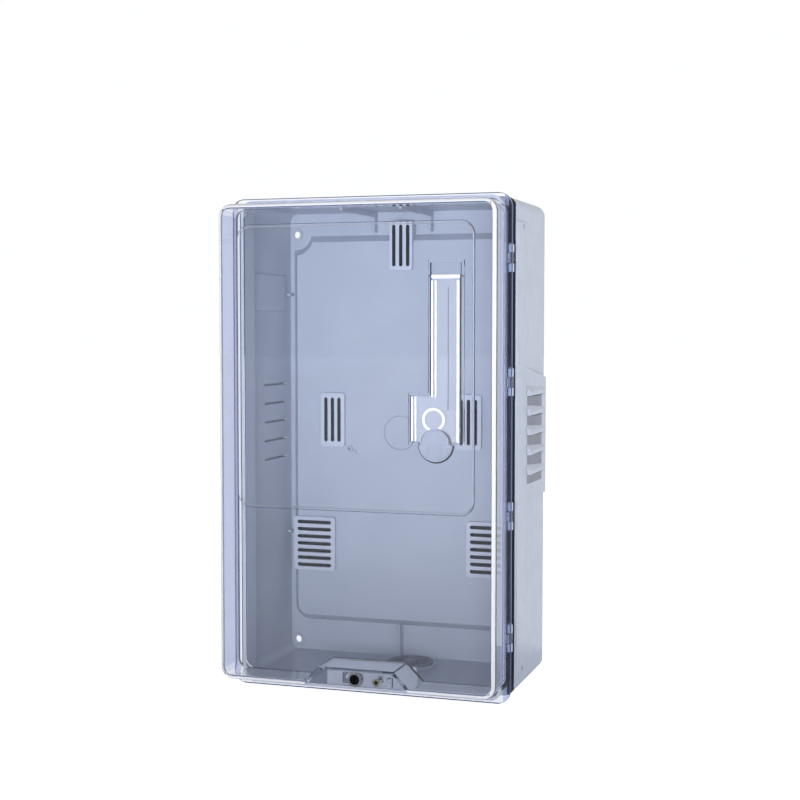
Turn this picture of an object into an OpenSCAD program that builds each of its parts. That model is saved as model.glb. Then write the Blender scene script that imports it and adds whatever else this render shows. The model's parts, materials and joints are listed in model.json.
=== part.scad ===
// Wall-mounted meter box: a moulded tub, a deep clear cover hinged on its right side, and a
// small clear flap on the cover. X is right seen from the front, Y runs into the wall, Z is up.
// The origin is the centre of the four wall holes, on the wall. Millimetres.

/* [Tub] */
// Width of the tub over its side walls
tub_w = 292; // [280:1:310]
// Height of the tub over its top and bottom walls
tub_h = 496; // [480:1:520]
// Distance from the wall to the front face of the tub's rim
tub_d = 145.5; // [130:0.5:160]
// Wall thickness of the tub
wall_t = 3; // [2.5:0.5:4]
// Radius of the tub's long corners
tub_r = 12; // [8:1:16]
// Height of the raised back panel above the wall plane
panel_d = 14; // [12:1:16]

/* [Wall fixing] */
// Distance between the wall holes across the tub
hole_pitch_x = 270; // [266:1:270]
// Distance between the wall holes up the tub
hole_pitch_z = 456; // [450:1:460]
// Diameter of a wall hole
hole_dia = 8; // [7:0.5:9]
// How far the tub's middle lies above the middle of the wall holes
middle_z = 6; // [4:1:8]

/* [Cover] */
// Width of the cover's flange
flange_w = 296; // [296:1:300]
// Height of the cover's flange
flange_h = 500; // [500:1:506]
// Distance from the wall to the back of the flange
flange_d = 148; // [148:0.5:149]
// Distance from the wall to the cover's front pane
pane_d = 195; // [185:1:205]
// Thickness of the clear moulding
clear_t = 3; // [2.5:0.5:3.5]

/* [Hinge] */
// Diameter of the steel hinge pins
pin_dia = 3; // [2.5:0.5:3]
// Sideways place of the hinge axis
hinge_x = 142.5; // [142:0.5:143]
// Distance from the wall to the hinge axis
hinge_d = 136; // [135:0.5:137]

/* [Vents] */
// Louvres on each side wall
louvre_count = 5; // [3:1:5]
// Distance from one louvre to the next
louvre_pitch = 20.2; // [18:0.1:22]

/* [Hidden] */
$fn = 48;
eps = 0.01;

// Tub
floor_t = 3.5;
rim_side_w = 276;
channel_d = 124;
inner_w = tub_w - 2 * wall_t;
inner_h = tub_h - 2 * wall_t;
rim_inner_w = rim_side_w - 2 * wall_t;
rail_back = 89;
rail_proud = 1.5;
rail_bottom = -229;
rail_top = 224;
rib_t = 2.5;
rib_top_x = [-41, 23];
rib_low_x = -13;
rib_side_z = [154, -111];
guide_z = [137, 176];
hole_x = hole_pitch_x / 2;
hole_z = hole_pitch_z / 2 - middle_z;
low_hole_z = -hole_pitch_z / 2 - middle_z;

// Side lips of the rim seal
lip_t = 1;
lip_back = 127;
hinge_clear = 15;

// Raised back panel
panel_w = 276;
panel_bottom = -210;
panel_top = 220;
panel_slope = 7;
panel_r = 18;
panel_hollow_r = 24;
notch_r = 17;
notch_mouth_r = 24;
meter_x = -10;
knockout_z = 4;
knockout_r = 19;
boss_x = -69;
boss_z = -15;

// Fixing pads: [x, z, width, height] of each, seen from the front
pad_top = [-8.5, 207.5, 26, 53];
pad_left = [-88, 17, 28, 59];
pad_right = [68, 17, 28, 59];
pad_low_left = [-110, -122, 49, 60];
pad_low_right = [90, -120, 49, 60];
pad_back = 4;
pad_front = 18;
pad_r = 3;
slot_w = 3.9;
slot_floor = 6;

// Cover: outside of its skirt, which sits a little above the middle of the flange
skirt_w = 287;
skirt_top = 242;
skirt_bottom = -236;
skirt_r = 13;
skirt_mid = (skirt_top + skirt_bottom) / 2;
skirt_h = skirt_top - skirt_bottom;
lip_w = 268;
window_proud = 1.5;
window_left = -121.5;
window_right = 123;
window_bottom = -60;
window_top = 221;
window_d = pane_d + window_proud;

// Lock pocket in the middle of the cover's bottom edge
pocket_top = -218.5;
pocket_left = -36;
pocket_right = 40;
pocket_splay = 17.5;
lock_x = -14;
lock_z = -237;
barrel_r = 6;
plug_r = 4;
plug_gap = 0.06;
cam_reach = 13;
cam_w = 8;
plate_top = -221;
plate_left = -46;
plate_right = 50;
screw_x = 11;
screw_z = -237;
post_x = 24.5;
screw_hole_r = 2.08;

// Hinge
hinge_z = [187, 66, -66, -187];
knuckle_r = 3.6;
knuckle_len = 10;
ear_len = 8;
ear_gap = 0.4;
pin_r = pin_dia / 2;
running = 0.08;

// Flap, and the well in the cover that it lies in
flap_left = 80.2;
flap_right = 108;
flap_foot_left = 60.2;
flap_foot_top = 53.5;
flap_bottom = 10.5;
flap_gap = 1.2;
flap_axis_z = 168;
flap_axis_d = window_d - 2.6;
flap_barrel_r = 2.1;
flap_t = 2.4;
flap_pin_r = 1;
flap_pin_left = flap_left - flap_gap - 2.5;
flap_pin_len = flap_right - flap_left + 2 * flap_gap + 5;
well_depth = 5;
well_t = 2.5;
well_top = 181;
well_floor_d = window_d - well_depth;
flap_back = well_floor_d + 0.6;
slot_x = [95.5, 104.5];
slot_z = [41, 158];
ring_x = 82.3;
ring_z = 31.5;
ring_r = 11.3;
bowl_x = 84.5;
bowl_z = 8;
bowl_r = 17;
bowl_depth = 9;
bowl_ball = (bowl_r * bowl_r + bowl_depth * bowl_depth) / (2 * bowl_depth);

// Vents
louvre_top = 61;
louvre_back = 16;
louvre_front = 80;
louvre_h = 11;
louvre_proud = 4.5;
vent_front = 90;
vent_proud = 3;
vent_bottom = -56;
vent_top_back = 66;
vent_top_front = 81;

// Cable entry in the bottom wall
entry_x = 10;
entry_d = 42;
entry_r = 22;
cable_r = 6;

tub_colour = [0.66, 0.70, 0.78];
pad_colour = [0.74, 0.78, 0.86];
clear_colour = [0.84, 0.88, 0.97, 0.35];
steel_colour = [0.75, 0.76, 0.78];
brass_colour = [0.80, 0.66, 0.38];
rubber_colour = [0.20, 0.21, 0.24];

// Rectangle with true round corners, about its own middle
module round_rect(w, h, r) {
    square([w - 2 * r, h], center = true);
    square([w, h - 2 * r], center = true);
    for (x = [-1, 1], y = [-1, 1])
        translate([x * (w / 2 - r), y * (h / 2 - r)]) circle(r);
}

// Extrudes a front-view outline from one distance off the wall to another
module off_wall(from, to) {
    rotate([90, 0, 0]) translate([0, 0, from]) linear_extrude(to - from) children();
}

// Block given by its X, distance-off-the-wall and Z limits
module block(x, d, z) {
    translate([x[0], -d[1], z[0]]) cube([x[1] - x[0], d[1] - d[0], z[1] - z[0]]);
}

// Round bar that points straight off the wall
module bar(x, z, r, from, to) {
    translate([x, -from, z]) rotate([90, 0, 0]) cylinder(r = r, h = to - from);
}

// Moves a piece drawn about the tub's middle to the frame of the wall holes
module in_frame(colour) {
    color(colour) translate([0, 0, middle_z]) children();
}

// Raised back panel: four sloped sides that meet in cone-shaped corners
module back_panel() {
    half_w = panel_w / 2;
    translate([0, 0, panel_bottom + panel_r]) linear_extrude(panel_top - panel_bottom - 2 * panel_r)
        polygon([[-half_w, 0], [half_w, 0], [half_w, -floor_t],
                 [half_w - panel_slope, -panel_d], [panel_slope - half_w, -panel_d],
                 [-half_w, -floor_t]]);
    translate([panel_r - half_w, 0, 0]) rotate([90, 0, 90]) linear_extrude(panel_w - 2 * panel_r)
        polygon([[0, panel_bottom], [0, panel_top], [-floor_t, panel_top],
                 [-panel_d, panel_top - panel_slope], [-panel_d, panel_bottom + panel_slope],
                 [-floor_t, panel_bottom]]);
    for (x = [panel_r - half_w, half_w - panel_r], z = [panel_bottom + panel_r, panel_top - panel_r])
        translate([x, -floor_t, z]) rotate([90, 0, 0])
            cylinder(r1 = panel_r, r2 = panel_r - panel_slope, h = panel_d - floor_t);
}

module panel_hollow() {
    hollow_w = panel_w - 2 * panel_slope - 10;
    hollow_h = panel_top - panel_bottom - 2 * panel_slope - 10;
    translate([0, 0, (panel_top + panel_bottom) / 2])
        off_wall(-1, panel_d - floor_t) round_rect(hollow_w, hollow_h, panel_hollow_r);
}

module tub_shell() {
    difference() {
        union() {
            off_wall(0, channel_d) round_rect(tub_w, tub_h, tub_r);
            off_wall(channel_d - wall_t, tub_d) round_rect(rim_side_w, tub_h, tub_r);
        }
        off_wall(floor_t, channel_d - wall_t) round_rect(inner_w, inner_h, tub_r - wall_t);
        off_wall(channel_d - wall_t - eps, tub_d + 1)
            round_rect(rim_inner_w, inner_h, tub_r - wall_t);
    }
}

// Raised band along each side wall behind the hinge channel
module side_rail(side) {
    x = [tub_w / 2 - 1, tub_w / 2 + rail_proud];
    difference() {
        mirror([side < 0 ? 1 : 0, 0, 0]) block(x, [rail_back, channel_d], [rail_bottom, rail_top]);
        for (z = [rail_bottom + 4, rail_top - 4])
            mirror([side < 0 ? 1 : 0, 0, 0])
                block([tub_w / 2 + 0.5, tub_w / 2 + 3], [rail_back + 8, rail_back + 14], [z - 2, z + 2]);
    }
}

// Sloped field that carries the louvres
module vent_field() {
    out = tub_w / 2;
    intersection() {
        translate([0, 0, vent_bottom]) linear_extrude(vent_top_front - vent_bottom)
            polygon([[out - 1, -3], [out + vent_proud, -3], [out + vent_proud, -louvre_back],
                     [out, -vent_front], [out - 1, -vent_front]]);
        translate([out - 2, 0, 0]) rotate([90, 0, 90]) linear_extrude(10)
            polygon([[0, vent_bottom], [-vent_front - 1, vent_bottom],
                     [-vent_front - 1, vent_top_front], [0, vent_top_back]]);
    }
}

// One louvre: a sloped hood, open below
module louvre_hood(z) {
    out = tub_w / 2;
    translate([0, -louvre_back, z]) rotate([90, 0, 0]) linear_extrude(louvre_front - louvre_back)
        polygon([[out - 1, 0], [out, 0], [out + louvre_proud, -7], [out + louvre_proud, -louvre_h],
                 [out - 1, -louvre_h]]);
}

module louvre_cut(z) {
    out = tub_w / 2;
    translate([0, -louvre_back - 2, z]) rotate([90, 0, 0])
        linear_extrude(louvre_front - louvre_back - 4)
            polygon([[out - 5, -3], [out - 0.5, -3], [out + louvre_proud - 1.5, -7.5],
                     [out + louvre_proud - 1.5, -louvre_h - 1.2], [out + 0.8, -louvre_h - 1.2],
                     [out + 0.8, -5.4], [out - 5, -5.4]]);
}

module side_vents() {
    for (m = [0, 1]) mirror([m, 0, 0]) {
        vent_field();
        for (i = [0:louvre_count - 1]) louvre_hood(louvre_top - i * louvre_pitch);
    }
}

module vent_cuts() {
    for (m = [0, 1], i = [0:louvre_count - 1])
        mirror([m, 0, 0]) louvre_cut(louvre_top - i * louvre_pitch);
}

// Ears on the tub's rim that hold one hinge pin
module hinge_ears(z) {
    for (side = [-1, 1]) {
        start = side > 0 ? knuckle_len / 2 + ear_gap : -knuckle_len / 2 - ear_gap - ear_len;
        translate([hinge_x, -hinge_d, z + start]) cylinder(r = knuckle_r, h = ear_len);
        block([rim_side_w / 2 - 1, hinge_x], [hinge_d - 3, hinge_d + 3],
              [z + start, z + start + ear_len]);
    }
}

module hinge_bores(z) {
    translate([hinge_x, -hinge_d, z - 20]) cylinder(r = pin_r, h = 40);
}

// Upright plate behind the lock, with a keyhole that lets the cam through when it lies flat
module lock_plate() {
    depth = [tub_d - wall_t, tub_d];
    difference() {
        block([plate_left, plate_right], depth, [-tub_h / 2 + 1, plate_top]);
        bar(lock_x, lock_z, barrel_r + 1, depth[0] - 1, depth[1] + 1);
        block([lock_x - cam_reach - 2, lock_x], [depth[0] - 1, depth[1] + 1],
              [lock_z - cam_w / 2 - 1.5, lock_z + cam_w / 2 + 1.5]);
        bar(screw_x, screw_z, 3.5, depth[0] - 1, depth[1] + 1);
    }
}

module stiffening_ribs() {
    for (x = rib_top_x) {
        block([x - rib_t / 2, x + rib_t / 2], [1, panel_d], [panel_top + 3, tub_h / 2 - 1]);
        block([x - rib_t / 2, x + rib_t / 2], [panel_d - 1, channel_d - 8],
              [inner_h / 2 - 6, tub_h / 2 - 1]);
    }
    block([rib_low_x, rib_low_x + rib_t], [1, panel_d], [-tub_h / 2 + 1, panel_bottom + 2]);
    for (m = [0, 1]) mirror([m, 0, 0]) {
        for (z = rib_side_z)
            block([inner_w / 2 - 4, inner_w / 2 + 1], [1, panel_d], [z, z + rib_t]);
        block([inner_w / 2 - 1.5, inner_w / 2 + 1], [22, channel_d - wall_t + 1], guide_z);
    }
}

// Ring round the cable entry on the inside of the bottom wall
module entry_ring() {
    translate([entry_x, -entry_d, -tub_h / 2 + 1]) cylinder(r = entry_r + 6, h = wall_t + 2);
}

module pad_outline(pad) {
    translate([pad[0], pad[1]]) round_rect(pad[2], pad[3], pad_r);
}

module base_tub() {
    in_frame(tub_colour) difference() {
        union() {
            tub_shell();
            difference() {
                back_panel();
                for (x = [-hole_x, hole_x])
                    translate([x, -floor_t, hole_z]) rotate([90, 0, 0])
                        cylinder(r1 = notch_r, r2 = notch_mouth_r, h = panel_d - floor_t);
            }
            for (x = [-hole_x, hole_x], z = [hole_z, low_hole_z])
                bar(x, z, 7, 1, floor_t + 1.5);
            for (side = [-1, 1]) side_rail(side);
            side_vents();
            for (z = hinge_z) hinge_ears(z);
            lock_plate();
            stiffening_ribs();
            entry_ring();
            bar(boss_x, boss_z, 3.5, panel_d - 1, panel_d + 2);
            bar(boss_x + 6, boss_z - 3.5, 2.2, panel_d - 1, panel_d + 1.5);
        }
        panel_hollow();
        for (pad = [pad_top, pad_left, pad_right, pad_low_left, pad_low_right])
            off_wall(pad_back, pad_front) pad_outline(pad);
        for (x = [-hole_x, hole_x], z = [hole_z, low_hole_z])
            bar(x, z, hole_dia / 2, -1, floor_t + 3);
        vent_cuts();
        for (z = hinge_z) hinge_bores(z);
        translate([entry_x, -entry_d, -tub_h / 2 - 1]) cylinder(r = entry_r, h = 12);
        difference() {
            bar(meter_x, knockout_z, knockout_r, panel_d - 1, panel_d + 1);
            bar(meter_x, knockout_z, knockout_r - 1, panel_d - 2, panel_d + 2);
        }
        bar(boss_x, boss_z, 1.6, panel_d - 2, panel_d + 3);
    }
}

// Fixing pad with upright slots
module upright_pad(pad, count, pitch, slot_len) {
    in_frame(pad_colour) difference() {
        off_wall(pad_back, pad_front) pad_outline(pad);
        for (i = [0:count - 1])
            translate([pad[0] + (i - (count - 1) / 2) * pitch, 0, pad[1]])
                off_wall(slot_floor, pad_front + 1) round_rect(slot_w, slot_len, slot_w / 2 - eps);
    }
}

// Fixing pad with level slots
module level_pad(pad, count, pitch, slot_len) {
    in_frame(pad_colour) difference() {
        off_wall(pad_back, pad_front) pad_outline(pad);
        for (i = [0:count - 1])
            translate([pad[0], 0, pad[1] + (i - (count - 1) / 2) * pitch])
                off_wall(slot_floor, pad_front + 1) round_rect(slot_len, slot_w, slot_w / 2 - eps);
    }
}

module meter_pad_top() { upright_pad(pad_top, 3, 7.9, 45); }
module meter_pad_left() { upright_pad(pad_left, 3, 7.7, 49); }
module meter_pad_right() { upright_pad(pad_right, 3, 7.7, 49); }
module breaker_pad_left() { level_pad(pad_low_left, 7, 8, 40); }
module breaker_pad_right() { level_pad(pad_low_right, 7, 8, 40); }

// Rubber seal on the front of the rim, with a lip down each side of it that stops at the hinges
module rim_gasket() {
    front = flange_d - 0.3;
    in_frame(rubber_colour) difference() {
        union() {
            off_wall(tub_d, front) difference() {
                round_rect(rim_side_w, tub_h, tub_r);
                round_rect(rim_inner_w, inner_h, tub_r - wall_t);
            }
            for (m = [0, 1]) mirror([m, 0, 0])
                block([rim_side_w / 2, rim_side_w / 2 + lip_t], [lip_back, front],
                      [tub_r - tub_h / 2, tub_h / 2 - tub_r]);
        }
        for (z = hinge_z)
            block([rim_side_w / 2, rim_side_w / 2 + 2 * lip_t], [lip_back - 1, front + 1],
                  [z - hinge_clear, z + hinge_clear]);
    }
}

// Rubber grommet with a cable hole, held in the bottom wall by the groove round it
module cable_grommet() {
    lip = 2;
    seat = wall_t + 3;
    in_frame(rubber_colour) translate([entry_x, -entry_d, -tub_h / 2]) rotate_extrude()
        polygon([[cable_r, 1], [entry_r - 4, -lip], [entry_r + 3, -lip], [entry_r + 3, 0],
                 [entry_r, 0], [entry_r, seat], [entry_r + 3, seat], [entry_r + 3, seat + 2],
                 [entry_r - 2.5, seat + 2], [entry_r - 2.5, 1], [cable_r + 2, 4],
                 [cable_r + 2, 9], [cable_r, 9]]);
}

module hinge_pin(i) {
    length = knuckle_len + 2 * (ear_len + ear_gap);
    in_frame(steel_colour) translate([hinge_x, -hinge_d, hinge_z[i] - length / 2]) {
        cylinder(r = pin_r, h = length);
        translate([0, 0, length]) cylinder(r = pin_r + 1, h = 1.2);
    }
}

module hinge_pin_1() { hinge_pin(0); }
module hinge_pin_2() { hinge_pin(1); }
module hinge_pin_3() { hinge_pin(2); }
module hinge_pin_4() { hinge_pin(3); }

// Brass insert that takes the seal screw
module lock_insert() {
    in_frame(brass_colour) difference() {
        union() {
            bar(screw_x, screw_z, 3.5, tub_d - 8, tub_d);
            bar(screw_x, screw_z, 4.5, tub_d - 8, tub_d - wall_t);
        }
        bar(screw_x, screw_z, 1.65, tub_d - 9, tub_d + 1);
    }
}

// Outline of the lock pocket in front view, grown by g
module pocket_outline(g) {
    foot = pocket_splay + 1.5;
    polygon([[pocket_left - foot - 1.4 * g, pocket_top - foot],
             [pocket_left - 0.4 * g, pocket_top + g], [pocket_right + 0.4 * g, pocket_top + g],
             [pocket_right + foot + 1.4 * g, pocket_top - foot]]);
}

module skirt_outline(inset) {
    translate([0, skirt_mid])
        round_rect(skirt_w - 2 * inset, skirt_h - 2 * inset, skirt_r - inset);
}

module window_outline(inset) {
    translate([(window_left + window_right) / 2, (window_top + window_bottom) / 2])
        round_rect(window_right - window_left - 2 * inset, window_top - window_bottom - 2 * inset,
                   14 - inset);
}

// Knuckles that reach back from the flange to the hinge axis
module cover_knuckle(z) {
    translate([hinge_x, -hinge_d, z - knuckle_len / 2]) cylinder(r = knuckle_r, h = knuckle_len);
    block([hinge_x - 1.8, hinge_x + 1.8], [hinge_d, flange_d + 1],
          [z - knuckle_len / 2, z + knuckle_len / 2]);
}

// Bowl for a fingertip under the foot of the flap
module finger_bowl(wall) {
    translate([bowl_x, -(window_d + bowl_ball - bowl_depth), bowl_z]) sphere(r = bowl_ball + wall);
}

// L-shaped outline of the flap in front view, grown by g
module flap_outline(g, top) {
    polygon([[flap_foot_left - g, flap_bottom - g], [flap_right + g, flap_bottom - g],
             [flap_right + g, top], [flap_left - g, top], [flap_left - g, flap_foot_top + g],
             [flap_foot_left - g, flap_foot_top + g]]);
}

// Clear cover: flange, skirt, pane, raised window, lock pocket and hinge knuckles in one moulding
module clear_cover() {
    pocket_floor = flange_d + clear_t;
    in_frame(clear_colour) difference() {
        union() {
            difference() {
                union() {
                    off_wall(flange_d, flange_d + clear_t) round_rect(flange_w, flange_h, 14);
                    off_wall(flange_d, pane_d) skirt_outline(0);
                }
                off_wall(flange_d + clear_t, pane_d - clear_t) skirt_outline(clear_t);
                off_wall(pane_d - clear_t - 1, window_d - clear_t) window_outline(2);
                off_wall(flange_d - 1, flange_d + clear_t + 1) translate([0, skirt_mid])
                    round_rect(lip_w, skirt_h - 2 * clear_t, skirt_r - clear_t);
            }
            intersection() {
                off_wall(pocket_floor - 1, pane_d - eps) pocket_outline(clear_t);
                off_wall(flange_d, pane_d) skirt_outline(0);
            }
            off_wall(flange_d, pocket_floor) pocket_outline(clear_t);
            off_wall(pane_d - 1, window_d) window_outline(0);
            intersection() {
                finger_bowl(clear_t);
                bar(bowl_x, bowl_z, bowl_r + 6, pane_d - 14, pane_d - 1);
            }
            off_wall(well_floor_d - well_t, pane_d - 1)
                flap_outline(flap_gap + well_t, well_top + well_t);
            for (z = hinge_z) cover_knuckle(z);
            block([post_x - 2.2, post_x + 2.2], [pocket_floor - 1, pocket_floor + 8],
                  [screw_z - 5, screw_z + 5]);
        }
        off_wall(pocket_floor, pane_d + 1) pocket_outline(0);
        finger_bowl(0);
        off_wall(well_floor_d, window_d + 1) flap_outline(flap_gap, well_top);
        for (z = hinge_z)
            translate([hinge_x, -hinge_d, z - knuckle_len]) cylinder(r = pin_r + running, h = 20);
        block(slot_x, [well_floor_d - well_t - 1, well_floor_d + 1], slot_z);
        bar(lock_x, lock_z, barrel_r, flange_d - 1, pocket_floor + 1);
        bar(screw_x, screw_z, screw_hole_r, flange_d - 1, pocket_floor + 1);
        translate([flap_pin_left, -flap_axis_d, flap_axis_z]) rotate([0, 90, 0])
            cylinder(r = flap_pin_r, h = flap_pin_len);
        translate([post_x - 4, -(pocket_floor + 5), screw_z]) rotate([0, 90, 0])
            cylinder(r = 1.2, h = 8);
    }
}

// Tube of the cam lock, with its collar in front of the cover
module lock_barrel() {
    in_frame(steel_colour) difference() {
        union() {
            bar(lock_x, lock_z, barrel_r, tub_d - wall_t - 0.5, flange_d + clear_t);
            bar(lock_x, lock_z, barrel_r + 1.5, flange_d + clear_t, flange_d + clear_t + 2);
        }
        bar(lock_x, lock_z, plug_r + plug_gap, tub_d - wall_t - 1, flange_d + clear_t + 3);
    }
}

// Thin round nut that holds the barrel to the cover
module lock_nut() {
    in_frame(steel_colour) difference() {
        bar(lock_x, lock_z, 7.4, flange_d - 1.9, flange_d);
        bar(lock_x, lock_z, barrel_r, flange_d - 3, flange_d + 1);
    }
}

// Turning core of the lock, with a key slot in its face
module lock_plug() {
    front = flange_d + clear_t + 1.6;
    back = tub_d - wall_t - 1;
    in_frame(brass_colour) difference() {
        bar(lock_x, lock_z, plug_r, back, front);
        block([lock_x - 0.7, lock_x + 0.7], [front - 6, front + 1], [lock_z - 2.6, lock_z + 2.6]);
        bar(lock_x, lock_z, 1.5, back - 1, back + 4);
    }
}

module lock_cam() {
    back = tub_d - wall_t - 3;
    in_frame(steel_colour) difference() {
        union() {
            bar(lock_x, lock_z, cam_w / 2, back, back + 2);
            block([lock_x - cam_reach + 2, lock_x], [back, back + 2],
                  [lock_z - cam_w / 2, lock_z + cam_w / 2]);
            block([lock_x - cam_reach, lock_x - 1], [back, back + 2],
                  [lock_z - cam_w / 2 + 2, lock_z + cam_w / 2 - 2]);
        }
        bar(lock_x, lock_z, 1.5, back - 1, back + 3);
    }
}

module cam_screw() {
    back = tub_d - wall_t - 3;
    in_frame(steel_colour) difference() {
        union() {
            bar(lock_x, lock_z, 1.5, back, back + 6);
            bar(lock_x, lock_z, 2.8, back - 1.8, back);
        }
        block([lock_x - 2, lock_x + 2], [back - 3, back - 1], [lock_z - 0.4, lock_z + 0.4]);
        block([lock_x - 0.4, lock_x + 0.4], [back - 3, back - 1], [lock_z - 2, lock_z + 2]);
    }
}

// Captive screw for the seal, drawn backed out of its insert
module seal_screw() {
    tip = tub_d + 0.5;
    head = flange_d + clear_t + 5;
    in_frame(brass_colour) difference() {
        union() {
            bar(screw_x, screw_z, 2, tip, head);
            bar(screw_x, screw_z, 3.7, head, head + 3);
        }
        bar(screw_x, screw_z, 2.7, head + 2.2, head + 4);
        translate([screw_x - 5, -(head + 1.1), screw_z]) rotate([0, 90, 0])
            cylinder(r = 0.7, h = 10);
    }
}

module seal_screw_clip() {
    in_frame(steel_colour) difference() {
        bar(screw_x, screw_z, 3.6, tub_d + 0.9, tub_d + 1.9);
        bar(screw_x, screw_z, 2, tub_d, tub_d + 3);
    }
}

// Clear flap that lies in the cover's well over the slot, hung from its top edge
module access_flap() {
    front = flap_back + flap_t;
    rib_front = window_d;
    in_frame(clear_colour) difference() {
        union() {
            off_wall(flap_back, front) flap_outline(0, flap_axis_z);
            block([flap_right - 2.5, flap_right], [front - 0.5, rib_front],
                  [flap_bottom, flap_axis_z - 4]);
            for (x = [flap_left, flap_left + 3.6])
                block([x, x + 1.6], [front - 0.5, rib_front], [flap_foot_top, flap_axis_z - 4]);
            for (x = [flap_foot_left, flap_foot_left + 3.6])
                block([x, x + 1.6], [front - 0.5, rib_front], [flap_bottom, flap_foot_top]);
            difference() {
                bar(ring_x, ring_z, ring_r, front - 0.5, front + 1);
                bar(ring_x, ring_z, ring_r - 2.3, front - 1, front + 2);
            }
            translate([flap_left, -flap_axis_d, flap_axis_z]) rotate([0, 90, 0])
                cylinder(r = flap_barrel_r, h = flap_right - flap_left);
            for (x = [flap_foot_left, flap_right])
                translate([x, -(flap_back + flap_t / 2), 20]) cylinder(r = 0.8, h = 4);
        }
        translate([flap_left - 1, -flap_axis_d, flap_axis_z]) rotate([0, 90, 0])
            cylinder(r = flap_pin_r + 0.06, h = flap_right - flap_left + 2);
        bar(bowl_x, bowl_z, bowl_r - 1.5, flap_back - 1, rib_front + 1);
    }
}

module flap_pin() {
    in_frame(steel_colour)
        translate([flap_pin_left, -flap_axis_d, flap_axis_z]) rotate([0, 90, 0])
            cylinder(r = flap_pin_r, h = flap_pin_len);
}

base_tub();
meter_pad_top();
meter_pad_left();
meter_pad_right();
breaker_pad_left();
breaker_pad_right();
rim_gasket();
cable_grommet();
hinge_pin_1();
hinge_pin_2();
hinge_pin_3();
hinge_pin_4();
lock_insert();
clear_cover();
lock_barrel();
lock_nut();
lock_plug();
lock_cam();
cam_screw();
seal_screw();
seal_screw_clip();
access_flap();
flap_pin();
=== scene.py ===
import json
import math

import bmesh
import bpy
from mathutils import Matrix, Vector


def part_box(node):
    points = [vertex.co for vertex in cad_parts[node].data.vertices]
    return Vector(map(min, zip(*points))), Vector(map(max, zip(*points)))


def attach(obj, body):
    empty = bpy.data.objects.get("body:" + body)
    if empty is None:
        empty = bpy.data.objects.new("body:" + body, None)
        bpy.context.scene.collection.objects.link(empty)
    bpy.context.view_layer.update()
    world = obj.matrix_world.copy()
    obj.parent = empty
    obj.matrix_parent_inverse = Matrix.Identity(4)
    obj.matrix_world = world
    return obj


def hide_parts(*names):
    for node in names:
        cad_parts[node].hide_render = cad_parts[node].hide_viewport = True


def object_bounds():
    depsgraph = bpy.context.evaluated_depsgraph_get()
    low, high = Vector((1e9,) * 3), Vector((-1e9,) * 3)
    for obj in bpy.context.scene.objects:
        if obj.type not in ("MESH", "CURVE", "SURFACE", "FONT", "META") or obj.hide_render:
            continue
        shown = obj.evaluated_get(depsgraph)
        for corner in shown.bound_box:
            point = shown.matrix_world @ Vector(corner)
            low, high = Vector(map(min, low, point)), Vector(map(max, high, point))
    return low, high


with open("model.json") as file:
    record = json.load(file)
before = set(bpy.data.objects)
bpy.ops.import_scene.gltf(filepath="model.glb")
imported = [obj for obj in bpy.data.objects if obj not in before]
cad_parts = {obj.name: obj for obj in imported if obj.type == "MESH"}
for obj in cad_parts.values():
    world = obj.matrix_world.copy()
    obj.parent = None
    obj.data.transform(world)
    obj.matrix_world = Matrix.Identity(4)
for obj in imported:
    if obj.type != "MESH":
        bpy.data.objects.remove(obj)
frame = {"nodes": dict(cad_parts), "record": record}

MM = 0.001
CAD_BOX = [list(corner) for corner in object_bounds()]
NODES = frame["nodes"]

# Camera: place in metres, and the direction it looks in
CAMERA_PLACE = (0.4838, -1.5203, 0.1299)
CAMERA_FORWARD = (-0.3116, 0.9487, -0.0530)

# Floor: its glow as a lamp, as seen in glass, and as seen by the camera
FLOOR_HALF = 14
FLOOR_DROP = 0.3 * MM
FLOOR_GLOW = 0.85
FLOOR_SEEN = 0.60
FLOOR_DIRECT = 0.88

# Room: brightness in front, in the dark bands, at the sides and behind, and its gain in mirrors
ROOM_FRONT = 0.25
ROOM_BAND = 0.03
ROOM_SIDE = 0.35
ROOM_BEHIND = 1.05
ROOM_MIRRORED = 2.5
ROOM_LIMIT = 1.1


# ---------------------------------------------------------------- camera, stage and lights

def aim(obj, target):
    """Turns a camera or lamp towards a point."""
    obj.rotation_euler = (Vector(target) - obj.location).to_track_quat("-Z", "Y").to_euler()


def add_camera():
    """Camera to the right of the box and a little above its middle, looking slightly down."""
    data = bpy.data.cameras.new("camera")
    data.lens = 65.4
    data.sensor_width = 36
    obj = bpy.data.objects.new("camera", data)
    obj.location = CAMERA_PLACE
    bpy.context.scene.collection.objects.link(obj)
    aim(obj, obj.location + Vector(CAMERA_FORWARD))
    bpy.context.scene.camera = obj


def add_softbox(name, location, target, size, watts, spread_angle, mirrored):
    """Rectangular lamp. One that isn't mirrored leaves no bright shape on the cover's pane."""
    data = bpy.data.lights.new(name, "AREA")
    data.shape = "RECTANGLE"
    data.size, data.size_y = size
    data.energy = watts
    data.spread = math.radians(spread_angle)
    obj = bpy.data.objects.new(name, data)
    obj.location = location
    obj.visible_glossy = mirrored
    obj.visible_transmission = mirrored
    bpy.context.scene.collection.objects.link(obj)
    aim(obj, target)


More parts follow.
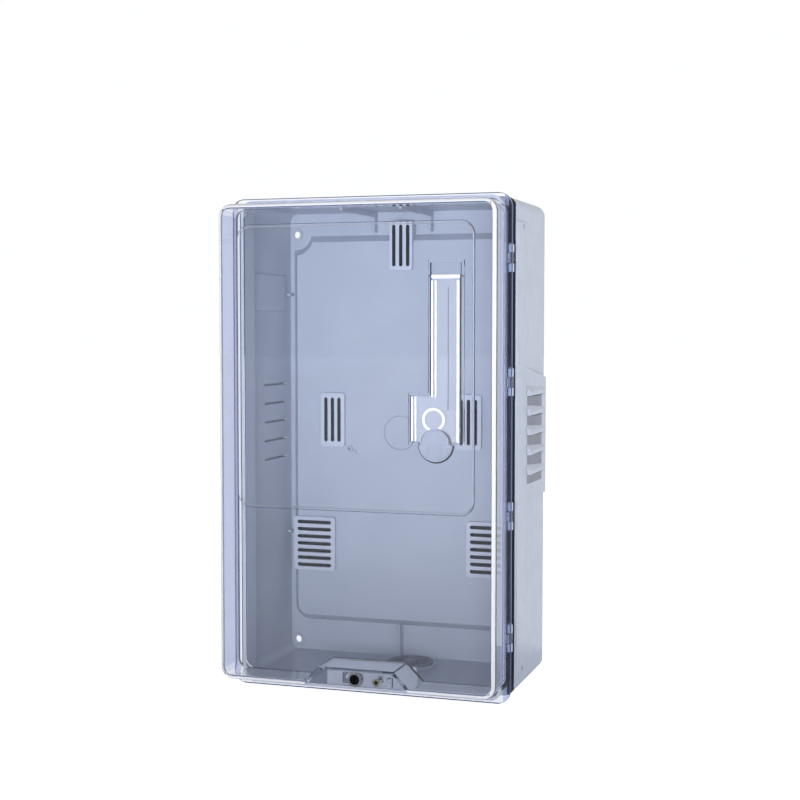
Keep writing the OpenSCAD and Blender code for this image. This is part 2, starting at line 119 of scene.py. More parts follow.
def floor_material():
    """Pale floor whose glow depends on the kind of ray, so that the pane doesn't mirror it."""
    material, tree, shader = new_material("floor")
    shader.inputs["Base Color"].default_value = (0.55, 0.56, 0.58, 1)
    shader.inputs["Roughness"].default_value = 0.9
    shader.inputs["Emission Color"].default_value = (0.97, 0.98, 1.0, 1)
    path = tree.nodes.new("ShaderNodeLightPath")
    camera_ray, glossy_ray = path.outputs["Is Camera Ray"], path.outputs["Is Glossy Ray"]
    behind = product(tree, more(tree, axes_of(tree)[1], 0.1), glossy_ray)
    seen = maths(tree, "MAXIMUM", camera_ray, path.outputs["Is Transmission Ray"])
    seen = maths(tree, "MAXIMUM", seen, behind)
    mirrored = maths(tree, "MAXIMUM", glossy_ray, seen)
    lighting = product(tree, opposite(tree, mirrored), FLOOR_GLOW)
    direct = product(tree, camera_ray, FLOOR_DIRECT - FLOOR_SEEN)
    glow = maths(tree, "ADD", product(tree, seen, FLOOR_SEEN), maths(tree, "ADD", lighting, direct))
    tree.links.new(glow, shader.inputs["Emission Strength"])
    return material


def add_floor():
    """Floor just under the box."""
    height = CAD_BOX[0][2] - FLOOR_DROP
    corners = ((-1, -1), (1, -1), (1, 1), (-1, 1))
    mesh = bpy.data.meshes.new("floor")
    mesh.from_pydata([(x * FLOOR_HALF, y * FLOOR_HALF, height) for x, y in corners], [], [(0, 1, 2, 3)])
    mesh.materials.append(floor_material())
    floor = bpy.data.objects.new("floor", mesh)
    bpy.context.scene.collection.objects.link(floor)


def side_bands(tree, across):
    """Brightness of the room by how far to one side a direction points."""
    bands = tree.nodes.new("ShaderNodeValToRGB")
    stops = ((0.0, ROOM_FRONT), (0.42, ROOM_FRONT), (0.50, ROOM_BAND), (0.60, ROOM_BAND),
             (0.70, ROOM_SIDE), (1.0, ROOM_SIDE))
    while len(bands.color_ramp.elements) < len(stops):
        bands.color_ramp.elements.new(1)
    for stop, (place, level) in zip(bands.color_ramp.elements, stops):
        stop.position = place
        stop.color = (level, level, level, 1)
    tree.links.new(maths(tree, "ABSOLUTE", across), bands.inputs["Fac"])
    return bands.outputs["Color"]


def add_room():
    """Pale room with a narrow dark band on each side, which gives clear edges their dark line."""
    world = bpy.data.worlds.new("room")
    bpy.context.scene.world = world
    world.use_nodes = True
    tree = world.node_tree
    across, away, _ = axes_of(tree, "Generated")
    path = tree.nodes.new("ShaderNodeLightPath")
    not_in_glass = opposite(tree, path.outputs["Is Transmission Ray"])
    mirrored = product(tree, path.outputs["Is Glossy Ray"], not_in_glass)
    gain = maths(tree, "ADD", 1.0, product(tree, mirrored, ROOM_MIRRORED - 1))
    front = maths(tree, "MINIMUM", product(tree, side_bands(tree, across), gain), ROOM_LIMIT)
    behind = tree.nodes.new("ShaderNodeMapRange")
    behind.interpolation_type = "SMOOTHSTEP"
    behind.inputs["From Min"].default_value = -0.1
    behind.inputs["From Max"].default_value = 0.25
    tree.links.new(away, behind.inputs["Value"])
    white = maths(tree, "MAXIMUM", path.outputs["Is Camera Ray"], behind.outputs["Result"])
    seen = add(tree, "ShaderNodeMix", data_type="FLOAT")
    seen.inputs[3].default_value = ROOM_BEHIND
    tree.links.new(white, seen.inputs[0])
    tree.links.new(front, seen.inputs[2])
    background = tree.nodes["Background"]
    tree.links.new(seen.outputs[0], background.inputs["Strength"])
    background.inputs["Color"].default_value = (0.95, 0.97, 1.0, 1)


def add_stage():
    """Floor, room and two lamps."""
    add_floor()
    add_room()
    add_softbox("key", (0.3, -1.35, 0.05), (0, -0.05, 0.16), (0.8, 0.35), 2.8, 60, False)
    add_softbox("side", (1.7, -0.2, 0.3), (0, -0.07, 0.01), (0.6, 1.2), 0.4, 180, True)
    bpy.context.scene.view_settings.view_transform = "Standard"


# ---------------------------------------------------------------- shapes

def point(x, distance, z):
    """Point in the row frame from millimetres: x, distance off the wall, z."""
    return Vector((x * MM, -distance * MM, z * MM))


def round_outline(box, inset, corner, distance, steps=12):
    """Rounded rectangle in front view, inside box = (left, bottom, right, top)."""
    left, bottom, right, top = (box[0] + inset, box[1] + inset, box[2] - inset, box[3] - inset)
    r = max(corner - inset, 0.3)
    middles = ((right - r, top - r, 0), (left + r, top - r, 90),
               (left + r, bottom + r, 180), (right - r, bottom + r, 270))
    points = []
    for x, z, start in middles:
        for i in range(steps + 1):
            turn = math.radians(start + 90 * i / steps)
            points.append(point(x + r * math.cos(turn), distance, z + r * math.sin(turn)))
    return points


def round_edge(box, corner, edge, distance, outward=1, inset=0.0, steps=6):
    """Rings that turn round an edge of radius edge onto a face at distance."""
    rings = []
    for i in range(steps + 1):
        turn = math.radians(90 * i / steps)
        depth = distance - outward * edge * (1 - math.sin(turn))
        rings.append(round_outline(box, inset + edge * (1 - math.cos(turn)), corner, depth))
    return rings


def mesh_object(name, build):
    """New object whose mesh build(bm) makes."""
    bm = bmesh.new()
    build(bm)
    bmesh.ops.recalc_face_normals(bm, faces=bm.faces)
    mesh = bpy.data.meshes.new(name)
    bm.to_mesh(mesh)
    bm.free()
    obj = bpy.data.objects.new(name, mesh)
    bpy.context.scene.collection.objects.link(obj)
    return obj


def loft(name, rings):
    """Closed solid through rings of equal point count, capped at both ends."""
    def build(bm):
        layers = [[bm.verts.new(p) for p in ring] for ring in rings]
        count = len(layers[0])
        for low, high in zip(layers, layers[1:]):
            for i in range(count):
                j = (i + 1) % count
                bm.faces.new((low[i], low[j], high[j], high[i]))
        bm.faces.new(layers[0])
        bm.faces.new(layers[-1])
        bmesh.ops.remove_doubles(bm, verts=bm.verts, dist=0.002 * MM)
    return mesh_object(name, build)


def prism(name, corners, start, end):
    """Solid with a front-view outline of (x, z) corners, from one distance to another."""
    return loft(name, [[point(x, d, z) for x, z in corners] for d in (start, end)])


def rod(name, start, end, radius, steps=32):
    """Cylinder between two points."""
    axis = (end - start).normalized()
    side = axis.orthogonal().normalized()
    other = axis.cross(side)
    turns = [2 * math.pi * i / steps for i in range(steps)]
    spokes = [(side * math.cos(t) + other * math.sin(t)) * radius * MM for t in turns]
    return loft(name, [[centre + s for s in spokes] for centre in (start, end)])


def ball(name, centre, radius):
    """Sphere with a centre in metres and a radius in millimetres."""
    def build(bm):
        bmesh.ops.create_uvsphere(bm, u_segments=96, v_segments=64, radius=radius * MM)
        bmesh.ops.translate(bm, verts=bm.verts, vec=centre)
    return mesh_object(name, build)


def combine(base, tools, operation):
    """Adds, cuts or intersects the tools one after another, and removes them."""
    for tool in tools:
        step = base.modifiers.new("step", "BOOLEAN")
        step.operation = operation
        step.solver = "EXACT"
        step.object = tool
        bpy.context.view_layer.update()
        graph = bpy.context.evaluated_depsgraph_get()
        result = bpy.data.meshes.new_from_object(base.evaluated_get(graph))
        base.modifiers.remove(step)
        base.data = result
        bpy.data.objects.remove(tool)
    return base


def soften(obj, angle=28):
    """Smooth shading, with a true corner wherever faces meet at more than the angle."""
    for face in obj.data.polygons:
        face.use_smooth = True
    obj.data.set_sharp_from_angle(angle=math.radians(angle))
    weigh = obj.modifiers.new("flat faces stay flat", "WEIGHTED_NORMAL")
    weigh.keep_sharp = True
    weigh.weight = 100


# ---------------------------------------------------------------- clear cover

# Sizes in millimetres. A box is (left, bottom, right, top) in front view.
COVER_LOW, COVER_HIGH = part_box("clear_cover")
FLANGE = (COVER_LOW.x / MM, COVER_LOW.z / MM, COVER_HIGH.x / MM, COVER_HIGH.z / MM)
FRONT = -COVER_LOW.y / MM
MIDDLE_Z = (FLANGE[1] + FLANGE[3]) / 2
CLEAR = 3.0
WINDOW_PROUD = 1.5
PANE = FRONT - WINDOW_PROUD
FLANGE_BACK = 148.0
SHELF = FLANGE_BACK + CLEAR
CORNER = 14
SKIRT_CORNER = 13
FRONT_EDGE = 5.0
INNER_EDGE = 2.4
SKIRT = (-143.5, MIDDLE_Z - 236, 143.5, MIDDLE_Z + 242)
LIP = (-134, SKIRT[1] + CLEAR, 134, SKIRT[3] - CLEAR)
WINDOW = (-121.5, MIDDLE_Z - 60, 123, MIDDLE_Z + 221)
HINGE_X = 142.5
HINGE_D = 136.0
HINGES = [MIDDLE_Z + z for z in (187, 66, -66, -187)]
KNUCKLE_R = 3.6
KNUCKLE_HALF = 5
ARM_HALF = 1.8
BORE_R = 1.58
LOCK = (-14, MIDDLE_Z - 237)
SCREW = (11, MIDDLE_Z - 237)
LOCK_HOLE_R = 6
SCREW_HOLE_R = 2.08
POST_X = 24.5
POST_HALF = 2.2
BOWL = (84.5, MIDDLE_Z + 8)
BOWL_R = 17.0
BOWL_DEPTH = 9.0
FLAP_BOX = (60.2, MIDDLE_Z + 10.5, 108, MIDDLE_Z + 53.5)
STEM_LEFT = 80.2
WELL_TOP = MIDDLE_Z + 181
WELL_FLOOR = FRONT - 5
WELL_WALL = 2.5
FLAP_GAP = 1.2
FLAP_AXIS = (FRONT - 2.6, MIDDLE_Z + 168)
FLAP_FACE = WELL_FLOOR + 3.0
SLOT = (95.5, MIDDLE_Z + 41, 104.5, MIDDLE_Z + 158)
POCKET = (-36, MIDDLE_Z - 218.5, 40)
POCKET_FOOT = 19

# Tub and pads: distances off the wall and to the side, and the boxes of hoods and vent fields
PAD_FACE = 18.0
SLOT_FLOOR = 5.8
RIM_SIDE = 138
CHANNEL = 124
CHANNEL_SIDE = 144.8
WALL_SIDE = 146
HOODS = (-160, MIDDLE_Z - 40.5, 160, MIDDLE_Z + 50.5)
VENTS = (-160, MIDDLE_Z - 60, 160, MIDDLE_Z + 84)


def corners_of(box):
    """Corners of a box of the front view."""
    left, bottom, right, top = box
    return [(left, bottom), (right, bottom), (right, top), (left, top)]


def pocket_corners(grow):
    """Front-view outline of the lock pocket, with splayed ends."""
    left, top, right = POCKET
    low = top - POCKET_FOOT
    return [(left - POCKET_FOOT - 1.4 * grow, low), (left - 0.4 * grow, top + grow),
            (right + 0.4 * grow, top + grow), (right + POCKET_FOOT + 1.4 * grow, low)]


def well_corners(grow):
    """L-shaped front-view outline of the flap's well."""
    left, bottom, right, foot_top = FLAP_BOX
    top = WELL_TOP + grow
    grow = grow + FLAP_GAP
    return [(left - grow, bottom - grow), (right + grow, bottom - grow), (right + grow, top),
            (STEM_LEFT - grow, top), (STEM_LEFT - grow, foot_top + grow),
            (left - grow, foot_top + grow)]


def outer_rings():
    """Outside of the cover, from the flange's back to the pane."""
    rim, fillet = 0.7, 0.8
    rings = [round_outline(FLANGE, rim, CORNER, FLANGE_BACK),
             round_outline(FLANGE, 0, CORNER, FLANGE_BACK + rim)]
    rings += round_edge(FLANGE, CORNER, 0.9, SHELF)
    rings += [round_outline(SKIRT, -fillet, SKIRT_CORNER, SHELF),
              round_outline(SKIRT, 0, SKIRT_CORNER, SHELF + fillet)]
    return rings + round_edge(SKIRT, SKIRT_CORNER, FRONT_EDGE, PANE)


def inner_rings():
    """Inside of the cover, from the flange's opening to the back of the pane."""
    rings = [round_outline(LIP, 0, 10, FLANGE_BACK - 1), round_outline(LIP, 0, 10, SHELF),
             round_outline(SKIRT, CLEAR, SKIRT_CORNER, SHELF)]
    return rings + round_edge(SKIRT, SKIRT_CORNER, INNER_EDGE, PANE - CLEAR, inset=CLEAR)


def cover_shell():
    """Flange, skirt and pane with its window, well, bowl and lock pocket."""
    window = loft("window", [round_outline(WINDOW, 0, CORNER, PANE - 1)]
                  + round_edge(WINDOW, CORNER, 1.3, FRONT))
    recess = loft("recess", [round_outline(WINDOW, 2, CORNER - 2, PANE - CLEAR - 1)]
                  + round_edge(WINDOW, CORNER, 1.0, FRONT - CLEAR, inset=2))
    ball_r = (BOWL_R ** 2 + BOWL_DEPTH ** 2) / (2 * BOWL_DEPTH)
    bowl_middle = point(BOWL[0], FRONT + ball_r - BOWL_DEPTH, BOWL[1])
    past_front = FRONT + 2
    cavity = combine(loft("cavity", inner_rings()), [recess], "UNION")
    combine(cavity, [prism("pocket_wall", pocket_corners(CLEAR), FLANGE_BACK - 3, past_front),
                     prism("well_wall", well_corners(WELL_WALL), WELL_FLOOR - WELL_WALL, past_front),
                     ball("bowl_wall", bowl_middle, ball_r + CLEAR)], "DIFFERENCE")
    shell = combine(loft("cover", outer_rings()), [window], "UNION")
    return combine(shell, [cavity, prism("pocket", pocket_corners(0), SHELF, past_front),
                           prism("well", well_corners(0), WELL_FLOOR, past_front),
                           ball("bowl", bowl_middle, ball_r)], "DIFFERENCE")


def cover_fittings(shell):
    """Hinge knuckles, the post for the seal wire, and every hole."""
    post = (POST_X - POST_HALF, SCREW[1] - 5, POST_X + POST_HALF, SCREW[1] + 5)
    blocks = [prism("post", corners_of(post), SHELF - 1, SHELF + 8)]
    holes = [prism("slot", corners_of(SLOT), WELL_FLOOR - WELL_WALL - 1.5, WELL_FLOOR + 1)]
    for name, (x, z), radius in (("lock_hole", LOCK, LOCK_HOLE_R),
                                 ("screw_hole", SCREW, SCREW_HOLE_R)):
        holes.append(rod(name, point(x, SHELF + 1, z), point(x, FLANGE_BACK - 1, z), radius))
    for name, left, right, (distance, z), radius in (
            ("post_hole", POST_X - 4, POST_X + 4, (SHELF + 5, SCREW[1]), 1.2),
            ("flap_pin_hole", STEM_LEFT - 3.7, FLAP_BOX[2] + 3.7, FLAP_AXIS, 1)):
        holes.append(rod(name, point(left, distance, z), point(right, distance, z), radius))
    for z in HINGES:
        low, high = z - KNUCKLE_HALF, z + KNUCKLE_HALF
        blocks.append(rod("knuckle", point(HINGE_X, HINGE_D, low),
                          point(HINGE_X, HINGE_D, high), KNUCKLE_R))
        blocks.append(prism("arm", corners_of((HINGE_X - ARM_HALF, low, HINGE_X + ARM_HALF, high)),
                            HINGE_D, FLANGE_BACK + 1))
        holes.append(rod("bore", point(HINGE_X, HINGE_D, low - 2),
                         point(HINGE_X, HINGE_D, high + 2), BORE_R))
    combine(shell, blocks, "UNION")
    combine(shell, holes, "DIFFERENCE")


def build_cover(material):
    """Clear cover with rounded edges, in place of the CAD cover."""
    cover = cover_shell()
    cover_fittings(cover)
    soften(cover)
    cover.data.materials.clear()
    cover.data.materials.append(material)
    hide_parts("clear_cover")
    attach(cover, "cover")


# ---------------------------------------------------------------- materials

def new_material(name):
    """New material, its node tree and its shader."""
    material = bpy.data.materials.new(name)
    material.use_nodes = True
    tree = material.node_tree
    return material, tree, tree.nodes["Principled BSDF"]


def add(tree, kind, **values):
    """New node, with its settings and the values of its inputs."""
    node = tree.nodes.new(kind)
    for name, value in values.items():
        if hasattr(node, name):
            setattr(node, name, value)
        else:
            node.inputs[name.replace("_", " ")].default_value = value
    return node


def noise(tree, scale, detail=3.0, roughness=0.55):
    """Noise over the object's own coordinates, in metres."""
    place = tree.nodes.new("ShaderNodeTexCoord")
    node = add(tree, "ShaderNodeTexNoise", Scale=scale, Detail=detail, Roughness=roughness)
    tree.links.new(place.outputs["Object"], node.inputs["Vector"])
    return node.outputs["Fac"]


def spread(tree, value, low, high):
    """Maps a 0 to 1 value to low..high."""
    node = tree.nodes.new("ShaderNodeMapRange")
    node.inputs["From Min"].default_value = 0.3
    node.inputs["From Max"].default_value = 0.7
    node.inputs["To Min"].default_value = low
    node.inputs["To Max"].default_value = high
    tree.links.new(value, node.inputs["Value"])
    return node.outputs["Result"]


def blend_colours(tree, value, first, second):
    """Mix of two colours; each is either a constant or a socket."""
    node = add(tree, "ShaderNodeMix", data_type="RGBA")
    for socket, colour in ((node.inputs[6], first), (node.inputs[7], second)):
        if isinstance(colour, tuple):
            socket.default_value = (*colour, 1)
        else:
            tree.links.new(colour, socket)
    tree.links.new(value, node.inputs[0])
    return node.outputs[2]


def maths(tree, operation, first, second=0.0):
    """Maths node on sockets or numbers."""
    node = add(tree, "ShaderNodeMath", operation=operation)
    for socket, value in zip(node.inputs, (first, second)):
        if isinstance(value, (int, float)):
            socket.default_value = value
        else:
            tree.links.new(value, socket)
    return node.outputs[0]


def axes_of(tree, output="Object"):
    """X, Y and Z of a texture coordinate."""
    place = tree.nodes.new("ShaderNodeTexCoord")
    axes = tree.nodes.new("ShaderNodeSeparateXYZ")
    tree.links.new(place.outputs[output], axes.inputs[0])
    return axes.outputs[0], axes.outputs[1], axes.outputs[2]


def product(tree, first, *others):
    """Sockets or numbers multiplied: of masks, the place where all are 1."""
    for other in others:
        first = maths(tree, "MULTIPLY", first, other)
    return first


def opposite(tree, mask):
    """1 where the mask is 0."""
    return maths(tree, "SUBTRACT", 1.0, mask)


def more(tree, value, limit):
    """1 where the value is over the limit."""
    return maths(tree, "GREATER_THAN", value, limit)


def less(tree, value, limit):
    """1 where the value is under the limit."""
    return maths(tree, "LESS_THAN", value, limit)


def off_side(tree):
    """Distance from the box's upright middle plane, in metres."""
    return maths(tree, "ABSOLUTE", axes_of(tree)[0])


def beyond(tree, distance):
    """1 farther than distance millimetres off the wall."""
    return less(tree, axes_of(tree)[1], -distance * MM)


def depth_between(tree, near, far):
    """1 between two distances off the wall."""
    return product(tree, beyond(tree, near), opposite(tree, beyond(tree, far)))


def within(tree, box):
    """1 inside a box of the front view."""
    across, _, up = axes_of(tree)
    left, bottom, right, top = (side * MM for side in box)
    return product(tree, more(tree, across, left), less(tree, across, right),
                more(tree, up, bottom), less(tree, up, top))


def grown(box, by):
    """Box of the front view made larger on every side."""
    return (box[0] - by, box[1] - by, box[2] + by, box[3] + by)


def facing(tree, axis):
    """How far a face's normal leans along an axis of the object, 0 to 1."""
    return maths(tree, "ABSOLUTE", axes_of(tree, "Normal")[axis])


def round_the_axis(tree, axis, radius):
    """1 nearer than radius millimetres to the line straight off the wall through axis = (x, z)."""
    across, _, up = axes_of(tree)
    across = maths(tree, "SUBTRACT", across, axis[0] * MM)
    up = maths(tree, "SUBTRACT", up, axis[1] * MM)
    squares = maths(tree, "ADD", product(tree, across, across), product(tree, up, up))
    return less(tree, squares, (radius * MM) ** 2)


def recolour(material, mask, colour):
    """Changes the colour wherever the mask is 1."""
    tree = material.node_tree
    shader = tree.nodes["Principled BSDF"]
    base = shader.inputs["Base Color"].links[0].from_socket
    tree.links.new(blend_colours(tree, mask, base, colour), shader.inputs["Base Color"])


def grain_bump(tree, shader, scale, distance, strength, edge=0.0):
    """Fine moulded or brushed grain, over softly rounded edges."""
    bump = add(tree, "ShaderNodeBump", Strength=strength, Distance=distance)
    tree.links.new(noise(tree, scale, 2.0), bump.inputs["Height"])
    if edge:
        bevel = add(tree, "ShaderNodeBevel", samples=4, Radius=edge)
        tree.links.new(bevel.outputs["Normal"], bump.inputs["Normal"])
    tree.links.new(bump.outputs["Normal"], shader.inputs["Normal"])


def moulded_plastic(name, light, dark, roughness, edge):
    """Opaque plastic with faint clouds of colour and a fine moulded grain."""
    material, tree, shader = new_material(name)
    cloud = spread(tree, noise(tree, 18), 0, 1)
    tree.links.new(blend_colours(tree, cloud, light, dark), shader.inputs["Base Color"])
    worn = spread(tree, noise(tree, 55), roughness - 0.05, roughness + 0.06)
    tree.links.new(worn, shader.inputs["Roughness"])
    grain_bump(tree, shader, 2400, 0.00006, 0.35, edge)
    return material


def metal(name, light, dark, roughness, edge):
    """Metal with a fine grain and uneven polish."""
    material, tree, shader = new_material(name)
    cloud = spread(tree, noise(tree, 400), 0, 1)
    tree.links.new(blend_colours(tree, cloud, light, dark), shader.inputs["Base Color"])
    tree.links.new(spread(tree, noise(tree, 900), roughness - 0.08, roughness + 0.1),
                   shader.inputs["Roughness"])
    shader.inputs["Metallic"].default_value = 1
    grain_bump(tree, shader, 3000, 0.00003, 0.2, edge)
    return material


def rubber(name, light, dark):
    """Dull rubber with a soft grain."""
    material, tree, shader = new_material(name)
    cloud = spread(tree, noise(tree, 60), 0, 1)
    tree.links.new(blend_colours(tree, cloud, light, dark), shader.inputs["Base Color"])
    tree.links.new(spread(tree, noise(tree, 150), 0.6, 0.8), shader.inputs["Roughness"])
    grain_bump(tree, shader, 1500, 0.0001, 0.4, 0.0004)
    return material


def clear_plastic(name, tint, roughness, marks):
    """Clear polycarbonate. Rays from lamps pass straight through, so it casts almost no shadow.

    Each mark is (mask, colour, transmission): where the mask is 1 the moulding is tinted, or carries
    painted shade or a painted highlight.
    """
    material, tree, shader = new_material(name)
    colour, clarity = tint, 1.0
    for make_mask, mark_colour, mark_clarity in marks:
        mask = make_mask(tree)
        colour = blend_colours(tree, mask, colour, mark_colour)
        clarity = product(tree, opposite(tree, product(tree, mask, 1 - mark_clarity)), clarity)
    tree.links.new(colour, shader.inputs["Base Color"])
    tree.links.new(clarity, shader.inputs["Transmission Weight"])
    shader.inputs["IOR"].default_value = 1.52
    tree.links.new(spread(tree, noise(tree, 30), roughness * 0.5, roughness * 1.5),
                   shader.inputs["Roughness"])
    bump = add(tree, "ShaderNodeBump", Strength=0.1, Distance=0.00005)
    tree.links.new(noise(tree, 22, 1.0), bump.inputs["Height"])
    tree.links.new(bump.outputs["Normal"], shader.inputs["Normal"])
    path = tree.nodes.new("ShaderNodeLightPath")
    through = tree.nodes.new("ShaderNodeBsdfTransparent")
    through.inputs["Color"].default_value = (0.90, 0.92, 0.96, 1)
    mix = tree.nodes.new("ShaderNodeMixShader")
    tree.links.new(path.outputs["Is Shadow Ray"], mix.inputs[0])
    tree.links.new(shader.outputs[0], mix.inputs[1])
    tree.links.new(through.outputs[0], mix.inputs[2])
    tree.links.new(mix.outputs[0], tree.nodes["Material Output"].inputs["Surface"])
    return material


# Mark colours for the clear parts: the two shades are painted shade, and the pale colour below them is a
# painted highlight.
CLEAR_TINT = (0.985, 0.985, 0.995)
SHADE = (0.10, 0.13, 0.24)
DEEP_SHADE = (0.05, 0.065, 0.15)
PAINTED_HIGHLIGHT = (0.95, 0.96, 1.0)


def edgewise(tree):
    """1 on faces that point sideways, up or down rather than off the wall."""
    return less(tree, facing(tree, 1), 0.35)


def leaning(tree, low, high):
    """1 on faces whose normal leans off the wall by more than low and less than high."""
    return product(tree, more(tree, facing(tree, 1), low), less(tree, facing(tree, 1), high))


def cover_sides(tree):
    """Right and left sides of the cover."""
    return more(tree, off_side(tree), (SKIRT[2] - CLEAR - 0.3) * MM)


def well_box():
    """Box of the front view round the flap's well."""
    left, bottom, right, _ = grown(FLAP_BOX, 1.5)
    return (left, bottom, right, WELL_TOP + 1)


def well_walls(tree):
    """Upright walls of the well the flap lies in."""
    return product(tree, within(tree, well_box()), beyond(tree, WELL_FLOOR - 0.3), edgewise(tree))


def away_from_flap(tree, radius):
    """1 outside the well, and farther than radius from the middle of the bowl."""
    return product(tree, opposite(tree, within(tree, well_box())),
                opposite(tree, round_the_axis(tree, BOWL, radius)))


def window_edge(tree):
    """Rounded edge of the raised window."""
    return product(tree, beyond(tree, PANE + 0.05), leaning(tree, -1, 0.85), away_from_flap(tree, 20))


def recess_edge(tree):
    """Rounded edge of the recess behind the window."""
    return product(tree, depth_between(tree, PANE - CLEAR + 0.05, FRONT - CLEAR + 0.05),
                leaning(tree, -1, 0.85), within(tree, grown(WINDOW, 1)), away_from_flap(tree, 22))


def flange_rim(tree):
    """Outer rim of the flange."""
    return opposite(tree, within(tree, grown(FLANGE, -0.8)))


def front_edge(tree):
    """Rounded edge round the front of the cover."""
    border = opposite(tree, within(tree, grown(SKIRT, -FRONT_EDGE - 0.2)))
    return product(tree, beyond(tree, PANE - 3), leaning(tree, 0.25, 0.97), border)


def inner_edge(tree):
    """Rounded edge inside the cover, between the pane and the skirt."""
    border = opposite(tree, within(tree, grown(SKIRT, -CLEAR - INNER_EDGE - 0.2)))
    return product(tree, depth_between(tree, PANE - CLEAR - INNER_EDGE - 0.1, PANE - CLEAR + 0.1),
                leaning(tree, 0.05, 0.97), border, within(tree, grown(SKIRT, 0.2 - CLEAR)))


def bowl_dish(tree):
    """The dish for a fingertip below the flap."""
    return product(tree, round_the_axis(tree, BOWL, BOWL_R), beyond(tree, FRONT - BOWL_DEPTH - 4))


def cover_plastic():
    """Clear cover with the painted shade (dark lines) and painted highlights (pale lines) along its edges.
    """
    # Painted shade on the well walls, window edge, flange rim and inner edge; painted highlights on the
    # recess edge, bowl and front edge.
    return clear_plastic("cover_clear", CLEAR_TINT, 0.02,
                         ((cover_sides, (0.62, 0.66, 0.83), 1.0), (well_walls, SHADE, 0.55),
                          (window_edge, DEEP_SHADE, 0.0), (recess_edge, PAINTED_HIGHLIGHT, 0.6),
                          (flange_rim, DEEP_SHADE, 0.1), (inner_edge, SHADE, 0.35),
                          (bowl_dish, PAINTED_HIGHLIGHT, 0.97), (front_edge, PAINTED_HIGHLIGHT, 0.45)))


def flap_ribs(tree):
    """Ribs and ring that stand proud of the flap's plate."""
    return beyond(tree, FLAP_FACE + 0.2)


def flap_plate(tree):
    """The flap's flat plate."""
    return opposite(tree, flap_ribs(tree))


def flap_edges(tree):
    """Narrow edges of the flap's plate."""
    return product(tree, flap_plate(tree), edgewise(tree))


def flap_plastic():
    """Clear flap: its plate painted slightly paler, with painted highlights on its ribs and painted shade
    on its edges.
    """
    return clear_plastic("flap_clear", (0.96, 0.97, 1.0), 0.03,
                         ((flap_plate, PAINTED_HIGHLIGHT, 0.95), (flap_edges, SHADE, 0.5), (flap_ribs, PAINTED_HIGHLIGHT, 0.35)))


def seal_rubber():
    """Grey seal whose side lips are painted near-black as the shade of the gap beside the flange."""
    material = rubber("seal_rubber", (0.60, 0.63, 0.72), (0.54, 0.57, 0.66))
    tree = material.node_tree
    # Painted shade: the side lips are painted near-black.
    recolour(material, more(tree, off_side(tree), (RIM_SIDE + 0.05) * MM), (0.012, 0.013, 0.018))
    return material


def inside_slots(tree):
    """1 inside a pad's slots: below its face, but not on its back or its outer side walls."""
    across, _, up = axes_of(tree, "Generated")
    mask = depth_between(tree, SLOT_FLOOR, PAD_FACE - 0.5)
    for axis in (across, up):
        from_middle = maths(tree, "ABSOLUTE", maths(tree, "SUBTRACT", axis, 0.5))
        mask = product(tree, mask, less(tree, from_middle, 0.465))
    return mask


def pad_plastic():
    """Pale pads with painted shade inside their slots."""
    material = moulded_plastic("pad_plastic", (0.50, 0.54, 0.64), (0.47, 0.51, 0.61), 0.36, 0.0006)
    # Painted shade: the inside of each slot is painted near-black.
    recolour(material, inside_slots(material.node_tree), (0.012, 0.017, 0.035))
    return material


def plug_black():
    """Black plug of the lock."""
    return metal("plug_black", (0.035, 0.035, 0.04), (0.02, 0.02, 0.024), 0.4, 0.0003)


def lock_steel():
    """Bright barrel with painted shade, a black inner ring, in the bore round the plug."""
    material = metal("lock_steel", (0.72, 0.73, 0.76), (0.60, 0.61, 0.64), 0.24, 0.0003)
    # Painted shade: the bore round the plug is painted black.
    recolour(material, round_the_axis(material.node_tree, LOCK, 5.2), (0.02, 0.02, 0.025))
    return material


def screw_brass():
    """Pale plated brass with painted shade in the recess of the screw's head."""
    material = metal("screw_brass", (0.78, 0.74, 0.62), (0.66, 0.60, 0.46), 0.26, 0.0003)
    # Painted shade: the recess in the screw's head is painted dark.
    recolour(material, round_the_axis(material.node_tree, SCREW, 1.9), (0.05, 0.045, 0.04))
    return material


def channel(tree):
    """Faces of the narrow channel behind the cover's flange, right and left."""
    side = off_side(tree)
    beside_rim = product(tree, more(tree, side, (RIM_SIDE - 0.2) * MM), less(tree, side, CHANNEL_SIDE * MM))
    back = depth_between(tree, CHANNEL - 0.5, CHANNEL + 1)
    rim = product(tree, beyond(tree, CHANNEL - 0.5), less(tree, side, (RIM_SIDE + 0.2) * MM))
    return product(tree, beside_rim, maths(tree, "MAXIMUM", back, rim))


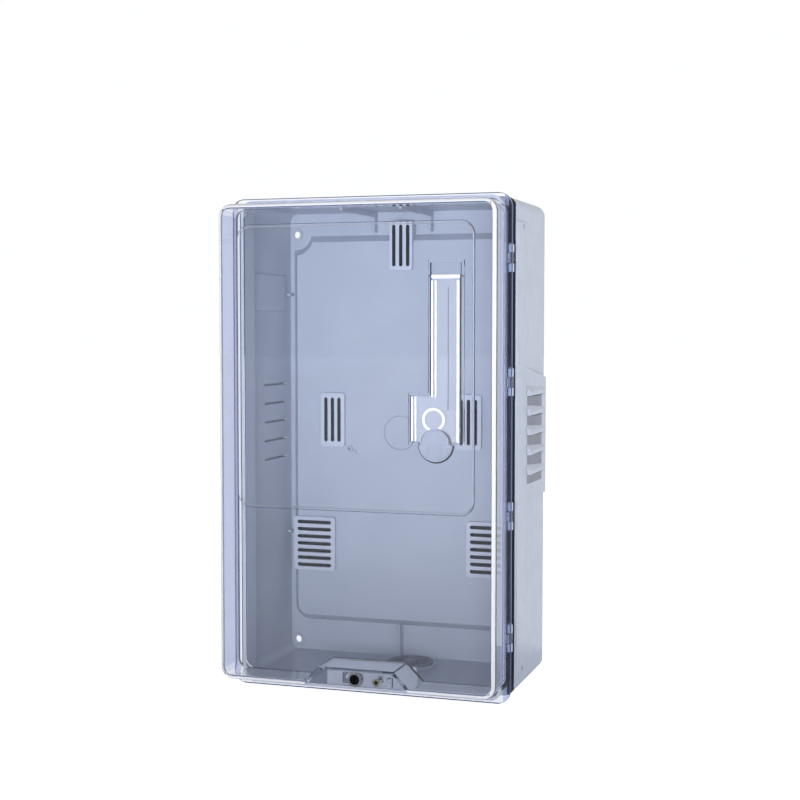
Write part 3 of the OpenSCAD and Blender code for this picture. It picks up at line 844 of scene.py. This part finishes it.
def between_hoods(tree):
    """The field of the side vents between one louvre hood and the next."""
    side = off_side(tree)
    field = product(tree, more(tree, side, (WALL_SIDE + 0.05) * MM),
                    less(tree, side, (WALL_SIDE + 2.75) * MM), more(tree, facing(tree, 0), 0.9))
    return product(tree, field, depth_between(tree, 17, 79), within(tree, HOODS))


def vent_rim(tree):
    """Sloped top and bottom edges of the raised vent field."""
    slopes = product(tree, more(tree, facing(tree, 2), 0.5),
                     more(tree, off_side(tree), (WALL_SIDE + 0.02) * MM))
    return product(tree, slopes, opposite(tree, within(tree, grown(HOODS, 11.5))),
                   within(tree, VENTS))


def tub_plastic():
    """Blue-grey tub, with painted shade in the channel behind the flange and between the louvres, and a
    painted highlight on the vent field's sloped edges.
    """
    material = moulded_plastic("tub_plastic", (0.40, 0.44, 0.53), (0.37, 0.41, 0.50), 0.34, 0.0012)
    tree = material.node_tree
    # Painted shade: the channel behind the flange is painted near-black.
    recolour(material, channel(tree), (0.012, 0.014, 0.022))
    # Painted shade: the vent field between the hoods is painted darker.
    recolour(material, between_hoods(tree), (0.12, 0.135, 0.18))
    # Painted highlight: the sloped top and bottom edges of the vent field are painted paler.
    recolour(material, vent_rim(tree), (0.62, 0.66, 0.74))
    return material


def make_materials():
    """One material for each slot of the record."""
    return {
        "tub_plastic": tub_plastic(),
        "pad_plastic": pad_plastic(),
        "clear_plastic": cover_plastic(),
        "seal_rubber": seal_rubber(),
        "steel": metal("steel", (0.66, 0.67, 0.70), (0.55, 0.56, 0.59), 0.28, 0.0003),
        "brass": metal("brass", (0.72, 0.62, 0.42), (0.60, 0.50, 0.32), 0.3, 0.0003),
    }


def dress(materials):
    """Gives each CAD node the material of its slot, or its own finish of that material."""
    own = {"cable_grommet": rubber("grommet_rubber", (0.20, 0.22, 0.28), (0.17, 0.19, 0.25)),
           "access_flap": flap_plastic(), "lock_barrel": lock_steel(), "lock_plug": plug_black(),
           "seal_screw": screw_brass()}
    for part in frame["record"]["subparts"]:
        mesh = NODES[part["node"]].data
        mesh.materials.clear()
        mesh.materials.append(own.get(part["node"], materials[part["material_slot"]]))


add_camera()
add_stage()
materials = make_materials()
dress(materials)
build_cover(materials["clear_plastic"])
